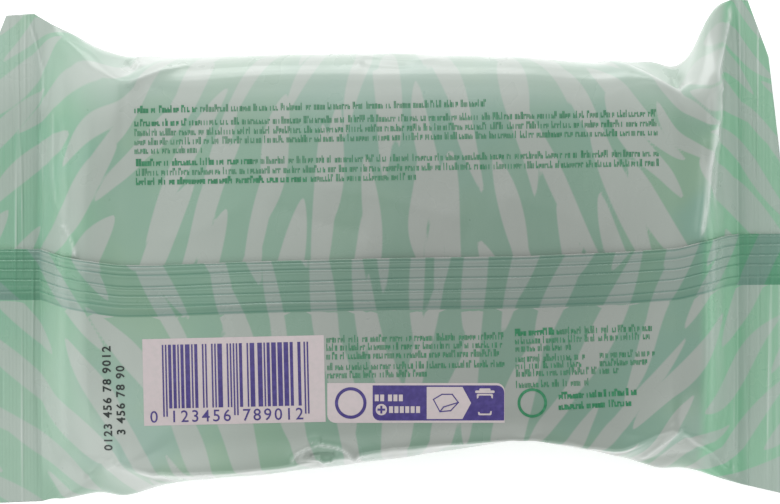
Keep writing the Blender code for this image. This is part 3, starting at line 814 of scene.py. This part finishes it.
def small_print(bm, rows, tilt, drawn):
    """Rows of dashes in groups, as letters stand in words."""
    for start_x, start_y, run, bold_run in rows:
        at = 0.0
        left_in_word = drawn.randint(*WORD_LENGTHS)
        while at < run * MM:
            dash = BOLD_DASH if at < bold_run * MM else THIN_DASH
            height = TALL_HEIGHT if drawn.random() < TALL_SHARE else X_HEIGHT * drawn.uniform(0.82, 1.0)
            x = start_x * MM + at * math.cos(tilt)
            foot = start_y * MM + at * math.sin(tilt)
            block(bm, x, foot + height / 2, dash, height, turn=tilt)
            if drawn.random() < SECOND_SHARE:
                short = height * drawn.choice((0.35, 0.7, 1.0))
                y = foot + drawn.choice((short, 2 * height - short)) / 2
                block(bm, x + LETTER_PITCH * 0.45, y, dash * drawn.uniform(0.9, 1.5), short, turn=tilt)
            left_in_word -= 1
            at += LETTER_PITCH
            if left_in_word == 0:
                at += LETTER_PITCH * 0.8
                left_in_word = drawn.randint(*WORD_LENGTHS)


def ink_finish(name, colour, worn):
    """Flexo ink on film: a flat colour with a slightly patchy density and the film's own soft gloss."""
    recipe = Recipe(name)
    patch = recipe.ramp(recipe.noise(900.0), 0.35, 0.75)
    normal = recipe.bump(recipe.noise(2600.0, 2.0), 0.1, 0.00005)
    recipe.set(base_color=recipe.mix(patch, colour, worn), roughness=0.34, normal=normal, coat_weight=0.2)
    return recipe.material


def print_on_film(bm, name, ink):
    """Lets flat marks down on the film from above, as a piece: a height becomes a height over the film."""
    for vertex in bm.verts:
        above = Vector((vertex.co.x, vertex.co.y, BACK_Z + OVER_FILM))
        place, out, _, _ = film_tree.ray_cast(above, Vector((0, 0, -1)))
        vertex.co = place + out * vertex.co.z
    piece = finished(bm, name, ink, smooth=False)
    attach(piece, "root")


green_ink = ink_finish("green_ink", srgb(32, 116, 76), srgb(54, 132, 92))
print_bm = bmesh.new()
dashes_drawn = random.Random(3)
for rows, tilts in ((UPPER_ROWS, 1), (MIDDLE_ROWS, 1), (RIGHT_ROWS, 2), (BOLD_ROWS, 3)):
    small_print(print_bm, rows, tilts * PRINT_TILT, dashes_drawn)
print_on_film(print_bm, "small_print", green_ink)

# Bar code panel: a pale field with a made-up row of bars, wider and narrower at random, two long guard bars
# at its ends and its middle, and the plain digits from nought to nine under it.
PANEL_X, PANEL_Y, PANEL_WIDTH, PANEL_HEIGHT = mm(-30.6, -25.2, 35.6, 17)
PANEL_TILT = math.radians(1.3)
PANEL_HIGH, OVER_PANEL, BAR_MODULE = mm(0.03, 0.055, 0.302)
BARS_LEFT, BARS_TOP, BARS_BOTTOM, GUARDS_BOTTOM = mm(-14.0, 7.3, -5.2, -6.8)
GUARD_BARS = (0, 2, 46, 48, 92, 94)
HALVES = ((4, 45), (50, 91))
DIGIT_GROUPS = (("0", -16.65 * MM), ("123456", -12.7 * MM), ("789012", 1.5 * MM))
DIGIT_SIZE, DIGIT_SPACING, DIGIT_BOLD = 3.3 * MM, 1.26, 0.004
SAME_CORNER = 0.005 * MM
DIGITS_Y, FOLLOW_STEP = mm(-7.9, 1.6)


def cut_across(bm, place, way):
    """Cuts through all of a mesh, across the way given, and leaves it in one piece."""
    everything = bm.verts[:] + bm.edges[:] + bm.faces[:]
    bmesh.ops.bisect_plane(bm, geom=everything, dist=SAME_PLACE, plane_co=place, plane_no=way)


def cut_to_follow(bm):
    """Cuts broad marks into small cells, so that they follow the film's swells."""
    cuts = int(max(max(abs(v.co.x), abs(v.co.y)) for v in bm.verts) / FOLLOW_STEP)
    for k in range(-cuts, cuts + 1):
        for way in (Vector((1, 0, 0)), Vector((0, 1, 0))):
            cut_across(bm, way * k * FOLLOW_STEP, way)


def turn_and_place(bm, x, y, turn):
    """Turns marks about their own origin and moves them to X and Y."""
    place = Matrix.Translation((x, y, 0.0)) @ Matrix.Rotation(turn, 4, "Z")
    bmesh.ops.transform(bm, matrix=place, verts=bm.verts)


def digits(bm, text, size, x, y, spacing, bold):
    """Plain digits as thin solid shapes, their lower left corner at X and Y."""
    curve = bpy.data.curves.new("digits", "FONT")
    curve.body = text
    curve.space_character = spacing
    curve.offset = bold
    curve.resolution_u = 3
    curve.extrude = 0.5
    shape = bpy.data.objects.new("digits", curve)
    bpy.context.scene.collection.objects.link(shape)
    mesh = bpy.data.meshes.new_from_object(shape.evaluated_get(bpy.context.evaluated_depsgraph_get()))
    bpy.data.objects.remove(shape)
    bpy.data.curves.remove(curve)
    before = set(bm.verts)
    bm.from_mesh(mesh)
    bpy.data.meshes.remove(mesh)
    made = [v for v in bm.verts if v not in before]
    thickness = Matrix.Diagonal((size, size, OVER_PANEL - INK_LOW, 1.0))
    place = Matrix.Translation((x, y, (OVER_PANEL + INK_LOW) / 2))
    bmesh.ops.transform(bm, matrix=place @ thickness, verts=made)
    bmesh.ops.remove_doubles(bm, verts=made, dist=SAME_CORNER)


panel_ink = ink_finish("panel_white_ink", srgb(194, 183, 184), srgb(188, 180, 180))
panel_bm = bmesh.new()
block(panel_bm, 0, 0, PANEL_WIDTH, PANEL_HEIGHT, PANEL_HIGH)
cut_to_follow(panel_bm)
turn_and_place(panel_bm, PANEL_X, PANEL_Y, PANEL_TILT)
print_on_film(panel_bm, "code_panel", panel_ink)

purple_ink = ink_finish("purple_ink", srgb(56, 44, 112), srgb(70, 58, 128))
bars_bm = bmesh.new()
bars_drawn = random.Random(7)


def bar(module, wide, bottom):
    """A bar so many modules wide, from a module's place."""
    middle = BARS_LEFT + (module + wide / 2) * BAR_MODULE
    block(bars_bm, middle, (BARS_TOP + bottom) / 2, wide * BAR_MODULE, BARS_TOP - bottom, OVER_PANEL)


for guard in GUARD_BARS:
    bar(guard, 1, GUARDS_BOTTOM)
for module, half_end in HALVES:
    while module < half_end:
        wide = min(bars_drawn.choice((1, 1, 2, 2, 3, 4)), half_end - module)
        bar(module, wide, BARS_BOTTOM)
        module += wide + bars_drawn.choice((1, 1, 2, 3))
for text, start in DIGIT_GROUPS:
    digits(bars_bm, text, DIGIT_SIZE, start, DIGITS_Y, DIGIT_SPACING, DIGIT_BOLD)
cut_to_follow(bars_bm)
turn_and_place(bars_bm, PANEL_X, PANEL_Y, PANEL_TILT)
print_on_film(bars_bm, "code_bars", purple_ink)

# Sorting marks: a pale rounded field with a purple block on it, a plain ring, two rows of plain pale bars,
# and a sheet and a bin in outline. A green ring stands beside the field. All are ink on the film.
MARKS_Y = -29.6 * MM
FIELD_X, FIELD_WIDTH, FIELD_HEIGHT, FIELD_CORNER = mm(5.1, 34.8, 7.8, 1.6)
BLOCK_X, BLOCK_WIDTH, BLOCK_HEIGHT, BLOCK_CORNER = mm(9.5, 25.8, 6.9, 1.4)
RING_X, RING_RADIUS, RING_BAND = mm(-7.7, 3.1, 0.62)
GREEN_RING_X, GREEN_RING_RADIUS, GREEN_RING_BAND = mm(27.9, 2.9, 0.55)
RING_STEPS = 40
CORNER_STEPS = 5
ALL_CORNERS = ((-1, -1), (-1, 1), (1, -1), (1, 1))
TWO_CORNERS = ((-1, -1), (1, 1))


def rounded_block(bm, x, y, width, height, radius, high, corners=ALL_CORNERS):
    """A flat block, rounded at the corners that are named by the signs of their X and Y."""
    before = set(bm.verts)
    edges = dict.fromkeys(e for v in block(bm, 0, 0, width, height, high) for e in v.link_edges)
    upright = [
        e for e in edges
        if e.verts[0].co.xy == e.verts[1].co.xy
        and (math.copysign(1, e.verts[0].co.x), math.copysign(1, e.verts[0].co.y)) in corners
    ]
    bmesh.ops.bevel(bm, geom=upright, offset=radius, segments=CORNER_STEPS, profile=0.5,
                    affect="EDGES", material=-1)
    made = [v for v in bm.verts if v not in before]
    bmesh.ops.translate(bm, verts=made, vec=(x, y, 0))
    return made


def ring(bm, x, y, radius, band, high):
    """A flat ring with a square section, spun about its middle."""
    bottom = Vector((x, y, INK_LOW))
    corners = [(radius - band, INK_LOW), (radius, INK_LOW), (radius, high), (radius - band, high)]
    section = [bm.verts.new((x + out, y, z)) for out, z in corners]
    edges = [bm.edges.new((section[k], section[(k + 1) % 4])) for k in range(4)]
    bmesh.ops.spin(bm, geom=section + edges, cent=bottom, axis=(0, 0, 1), angle=2 * math.pi,
                   steps=RING_STEPS, use_merge=True, use_duplicate=False)


field_bm = bmesh.new()
rounded_block(field_bm, FIELD_X, MARKS_Y, FIELD_WIDTH, FIELD_HEIGHT, FIELD_CORNER, PANEL_HIGH, TWO_CORNERS)
cut_to_follow(field_bm)
print_on_film(field_bm, "sorting_field", panel_ink)

marks_bm = bmesh.new()
rounded_block(marks_bm, BLOCK_X, MARKS_Y, BLOCK_WIDTH, BLOCK_HEIGHT, BLOCK_CORNER, OVER_PANEL, TWO_CORNERS)
ring(marks_bm, RING_X, MARKS_Y, RING_RADIUS, RING_BAND, OVER_PANEL)
cut_to_follow(marks_bm)
face_outwards(marks_bm)
print_on_film(marks_bm, "sorting_marks", purple_ink)

SIGN_HIGH, SIGN_TOP = mm(0.085, 0.11)
ARROW_LEFT, ARROW_RIGHT, ARROW_TIP, ARROW_HEIGHT = mm(7.2, 14.2, 1.7, 6.3)
ARROW_X, ARROW_LENGTH = (ARROW_LEFT + ARROW_RIGHT) / 2, ARROW_RIGHT - ARROW_LEFT
# Where each group of pale bars begins in X and Y, and how many there are
BAR_GROUPS = ((-2.6 * MM, -28.6 * MM, 2), (0.0, -28.6 * MM, 3), (0.2 * MM, -30.9 * MM, 6))
BAR_PITCH, BAR_WIDTH, BAR_HEIGHT = mm(1.06, 0.78, 1.3)
DOT_X, DOT_Y, DOT_WIDTH, DOT_CORNER = mm(-1.7, -30.9, 2.2, 1.05)
CROSS_LENGTH, CROSS_WIDTH = mm(1.5, 0.4)
BIN_X, BIN_Y, BIN_WIDTH, BIN_HEIGHT = mm(18.6, -29.9, 3.2, 4.2)
BIN_TAPER, BIN_CORNER, BIN_LINE = 0.82, 0.3 * MM, 0.7 * MM
LID_HEIGHT, LID_CORNER = mm(0.5, 0.2)
# The lid's and its knob's height over the middle of the bin, and their width
LIDS = ((2.5 * MM, 3.8 * MM), (2.9 * MM, 2.2 * MM))

signs_bm = bmesh.new()
block(signs_bm, ARROW_X, 0, ARROW_LENGTH, ARROW_HEIGHT, SIGN_HIGH)
cut_across(signs_bm, (0, 0, 0), (0, 1, 0))
tip = [v for v in signs_bm.verts if abs(v.co.y) < 0.1 * MM and v.co.x > ARROW_RIGHT - 0.1 * MM]
bmesh.ops.translate(signs_bm, verts=tip, vec=(ARROW_TIP, 0, 0))
cut_to_follow(signs_bm)
bmesh.ops.translate(signs_bm, verts=signs_bm.verts, vec=(0, MARKS_Y, 0))
for x, y, count in BAR_GROUPS:
    for k in range(count):
        block(signs_bm, x + k * BAR_PITCH, y, BAR_WIDTH, BAR_HEIGHT, SIGN_HIGH)
rounded_block(signs_bm, DOT_X, DOT_Y, DOT_WIDTH, DOT_WIDTH, DOT_CORNER, SIGN_HIGH)


def bin_body(bm, width, height, high):
    """A bin seen from its side, narrower at its foot."""
    for vertex in rounded_block(bm, 0, 0, width, height, BIN_CORNER, high):
        if vertex.co.y < 0:
            vertex.co.x *= BIN_TAPER
        vertex.co += Vector((BIN_X, BIN_Y, 0))


bin_body(signs_bm, BIN_WIDTH, BIN_HEIGHT, SIGN_HIGH)
for up, width in LIDS:
    rounded_block(signs_bm, BIN_X, BIN_Y + up, width, LID_HEIGHT, LID_CORNER, SIGN_HIGH)
print_on_film(signs_bm, "sorting_signs", panel_ink)

# The sheet's outline, and the line of its fold, in millimetres
SHEET_EDGE = (
    (8.5, -28.9), (10.2, -27.9), (12.2, -27.9), (13.4, -29.5), (11.9, -31.1), (9.8, -31.3), (8.5, -28.9)
)
SHEET_FOLD = ((9.8, -31.3), (10.5, -30.4), (11.7, -30), (13.4, -29.5))
SHEET_LINE = 0.22 * MM


def draw_line(bm, path, width, high):
    """Straight strokes along a path in millimetres, each a line's width too long to close its corners."""
    for start, end in zip(path, path[1:]):
        start_x, start_y, end_x, end_y = (c * MM for c in start + end)
        length = math.hypot(end_x - start_x, end_y - start_y) + width
        turn = math.atan2(end_y - start_y, end_x - start_x)
        block(bm, (start_x + end_x) / 2, (start_y + end_y) / 2, length, width, high, turn)


outlines_bm = bmesh.new()
draw_line(outlines_bm, SHEET_EDGE, SHEET_LINE, SIGN_TOP)
draw_line(outlines_bm, SHEET_FOLD, SHEET_LINE, SIGN_TOP)
for turn in (0, math.pi / 2):
    block(outlines_bm, DOT_X, DOT_Y, CROSS_LENGTH, CROSS_WIDTH, SIGN_TOP, turn)
bin_body(outlines_bm, BIN_WIDTH - BIN_LINE, BIN_HEIGHT - BIN_LINE, SIGN_TOP)
print_on_film(outlines_bm, "sorting_outlines", purple_ink)

ring_bm = bmesh.new()
ring(ring_bm, GREEN_RING_X, MARKS_Y, GREEN_RING_RADIUS, GREEN_RING_BAND, INK_HIGH)
face_outwards(ring_bm)
print_on_film(ring_bm, "green_ring", green_ink)

# Date code: two rows of plain black digits that read up the pack. The packing line stamps them on when the
# film is already printed, so they lie over the strokes.
STAMP_SIZE, STAMP_SPACING, STAMP_BOLD = 2.35 * MM, 1.19, 0.02
STAMP_X, STAMP_Y, STAMP_UP = -54.5 * MM, -39.0 * MM, math.radians(91)
# Each row's digits, and where they begin beside the first row's start
STAMP_ROWS = (("0123 456 78 9012", 0.0, 0.0), ("3 456 78 90", 3.1 * MM, -2.65 * MM))
stamp_ink = ink_finish("stamp_ink", srgb(24, 32, 30), srgb(38, 50, 46))
stamp_bm = bmesh.new()
for text, x, y in STAMP_ROWS:
    digits(stamp_bm, text, STAMP_SIZE, x, y, STAMP_SPACING, STAMP_BOLD)
turn_and_place(stamp_bm, STAMP_X, STAMP_Y, STAMP_UP)
print_on_film(stamp_bm, "date_code", stamp_ink)

# Reseal label: a thin die-cut film label stuck over the opening on the front, with a round pull tab at its
# right end. The pack lies on it.
LABEL_LENGTH, LABEL_WIDTH, LABEL_CORNER, LABEL_THICKNESS = mm(70, 40, 9, 0.2)
TAB_LENGTH, TAB_WIDTH = mm(8, 16)
TAB_ROUNDING = 0.98
BEVEL_STEPS = 8
# The frame line: the middles of its corner arcs in X and Y, and the arcs' inner and outer radius
FRAME_X, FRAME_Y = mm(26.5, 11.5)
FRAME_INNER, FRAME_OUTER, FRAME_BLUR = mm(5.2, 6.4, 0.1)


def label_finish():
    """Satin white film with a green frame printed round it."""
    recipe = Recipe("label_film")
    x, y = recipe.axes()
    to_x = recipe.math("SUBTRACT", recipe.math("ABSOLUTE", x), FRAME_X)
    to_y = recipe.math("SUBTRACT", recipe.math("ABSOLUTE", y), FRAME_Y)
    past_arc = {"X": recipe.math("MAXIMUM", to_x), "Y": recipe.math("MAXIMUM", to_y)}
    corner = recipe.node("ShaderNodeCombineXYZ", past_arc).outputs["Vector"]
    away = recipe.node("ShaderNodeVectorMath", {0: corner}, operation="LENGTH").outputs["Value"]
    outside = recipe.ramp(away, FRAME_INNER, FRAME_INNER + FRAME_BLUR)
    inside = recipe.ramp(away, FRAME_OUTER, FRAME_OUTER - FRAME_BLUR)
    frame_line = recipe.math("MULTIPLY", outside, inside)
    pale = recipe.mix(recipe.noise(60.0), srgb(188, 194, 190), srgb(180, 190, 184))
    colour = recipe.mix(frame_line, pale, srgb(62, 138, 98))
    normal = recipe.bump(recipe.noise(420.0, 2.0), 0.15, 0.0001)
    recipe.set(base_color=colour, roughness=0.3, normal=normal, coat_weight=0.3, coat_roughness=0.15)
    return recipe.material


label_bm = bmesh.new()
block(label_bm, 0, 0, LABEL_LENGTH, LABEL_WIDTH, LABEL_THICKNESS, low=0.0)
for side in (-1, 1):
    cut_across(label_bm, (0, side * TAB_WIDTH / 2, 0), (0, 1, 0))
tab_end = [f for f in label_bm.faces if f.normal.x > 0.9 and abs(f.calc_center_median().y) < TAB_WIDTH / 2]
pulled = bmesh.ops.extrude_face_region(label_bm, geom=tab_end)
bmesh.ops.delete(label_bm, geom=tab_end, context="FACES_ONLY")
tab_verts = [v for v in pulled["geom"] if isinstance(v, bmesh.types.BMVert)]
bmesh.ops.translate(label_bm, verts=tab_verts, vec=(TAB_LENGTH, 0, 0))


def upright_at(x, y):
    """The label's upright edges at a corner and its mirror images in Y."""
    return [
        e for e in label_bm.edges
        if abs(e.verts[0].co.z - e.verts[1].co.z) > LABEL_THICKNESS / 2
        and abs(e.verts[0].co.x - x) < MM and abs(abs(e.verts[0].co.y) - y) < MM
    ]


for x, y, radius in (
    (LABEL_LENGTH / 2, LABEL_WIDTH / 2, LABEL_CORNER),
    (-LABEL_LENGTH / 2, LABEL_WIDTH / 2, LABEL_CORNER),
    (LABEL_LENGTH / 2 + TAB_LENGTH, TAB_WIDTH / 2, TAB_ROUNDING * TAB_LENGTH),
):
    bmesh.ops.bevel(label_bm, geom=upright_at(x, y), offset=radius, segments=BEVEL_STEPS, profile=0.5,
                    affect="EDGES", material=-1)
face_outwards(label_bm)
label = finished(label_bm, "pull_label", label_finish(), smooth=False)
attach(label, "root")
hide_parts("reseal_label")

# Floor and light: a plain white table top in a bright white room. A small soft light hangs over the pack and
# big ones stand low at its ends and its sides, where they whiten the slopes.
FLOOR_SIZE = 4.0
FLOOR_GLOW, ROOM_LIGHT = 0.35, 0.5
# Name, place, width and height in metres, and power in watts
LIGHTS = (
    ("light_over", (-0.15, 0.2, 1.1), 0.5, 0.5, 0.9),
    ("light_left", (-1.2, 0.2, 0.65), 1.6, 0.9, 4.6),
    ("light_right", (1.2, -0.1, 0.6), 1.4, 0.8, 4.2),
    ("light_low_left", (-0.9, -0.8, 0.5), 0.8, 0.6, 2.4),
    ("light_top_side", (-0.25, 1.1, 0.42), 0.9, 0.6, 7.0),
    ("light_low_side", (0.1, -1.1, 0.42), 0.9, 0.6, 3.0),
)

floor_bm = bmesh.new()
bmesh.ops.create_grid(floor_bm, x_segments=8, y_segments=8, size=FLOOR_SIZE / 2)
paper = Recipe("table_top")
paper.set(base_color=paper.mix(paper.noise(30.0), srgb(250, 250, 250), srgb(255, 255, 255)), roughness=0.7)
paper.set(emission_color=(1.0, 1.0, 1.0, 1.0), emission_strength=FLOOR_GLOW)
floor = finished(floor_bm, "table_top", paper.material)

for name, place, width, height, power in LIGHTS:
    lamp = bpy.data.lights.new(name, "AREA")
    lamp.shape = "RECTANGLE"
    lamp.size, lamp.size_y = width, height
    lamp.energy = power
    light = bpy.data.objects.new(name, lamp)
    light.location = place
    light.rotation_euler = (-Vector(place)).to_track_quat("-Z", "Y").to_euler()
    bpy.context.scene.collection.objects.link(light)
room = bpy.data.worlds.new("room")
room.use_nodes = True
room_light = room.node_tree.nodes["Background"]
room_light.inputs["Color"].default_value = (1.0, 1.0, 1.0, 1.0)
room_light.inputs["Strength"].default_value = ROOM_LIGHT
bpy.context.scene.world = room
